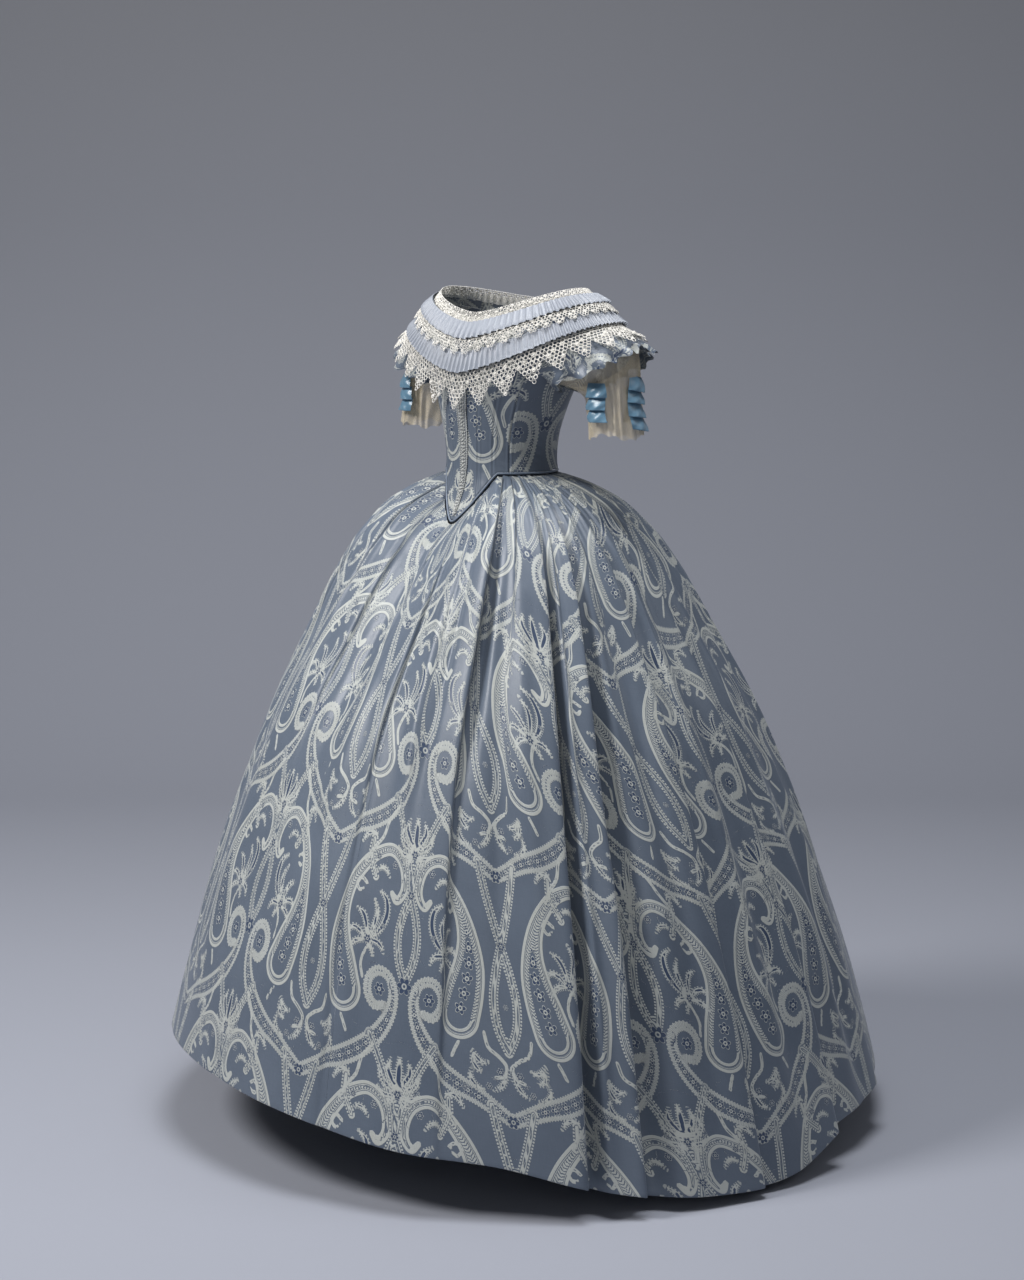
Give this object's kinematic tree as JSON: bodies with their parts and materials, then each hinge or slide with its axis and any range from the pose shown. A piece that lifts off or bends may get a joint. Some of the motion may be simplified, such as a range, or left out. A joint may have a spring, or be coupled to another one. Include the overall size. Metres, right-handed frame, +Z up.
{
  "type": "crinoline dress",
  "caption": "Off-the-shoulder evening dress with a pointed bodice, a bell-shaped crinoline skirt, lace and pleated ribbon round the neck, and short flared sleeves over net",
  "frame": {"origin": "the middle of the waist, on the axis of the waist seam, where a stand or a body holds the dress", "axes": "+Z up out of the neckline, -Y the front of the dress, +X the wearer's left"},
  "size_m": [1.2411, 1.2349, 1.3972],
  "materials": {
    "brocade": "grey-blue figured silk with a soft sheen",
    "ribbon": "pale blue satin ribbon",
    "sleeve_ribbon": "teal-blue satin ribbon",
    "lace": "matt ivory lace",
    "net": "sheer cream net",
    "braid": "grey-green woven braid"
  },
  "bodies": {
    "root": {"skirt_1": "brocade", "skirt_2": "brocade", "skirt_3": "brocade", "skirt_4": "brocade", "skirt_5": "brocade", "skirt_6": "brocade", "skirt_7": "brocade", "skirt_8": "brocade", "bodice_front_left": "brocade", "bodice_front_right": "brocade", "bodice_side_left": "brocade", "bodice_side_right": "brocade", "bodice_back_left": "brocade", "bodice_back_right": "brocade", "shoulder_strap_left": "brocade", "shoulder_strap_right": "brocade", "waist_piping": "brocade", "sleeve_cap_left": "brocade", "sleeve_cap_right": "brocade", "ruffle_upper": "ribbon", "ruffle_lower": "ribbon", "sleeve_ribbon_left_1": "sleeve_ribbon", "sleeve_ribbon_left_2": "sleeve_ribbon", "sleeve_ribbon_left_3": "sleeve_ribbon", "sleeve_ribbon_right_1": "sleeve_ribbon", "sleeve_ribbon_right_2": "sleeve_ribbon", "sleeve_ribbon_right_3": "sleeve_ribbon", "tucker_lace": "lace", "lace_upper": "lace", "lace_lower_front": "lace", "lace_lower_back": "lace", "undersleeve_left": "net", "undersleeve_right": "net", "centre_trim": "braid"}
  },
  "joints": []
}
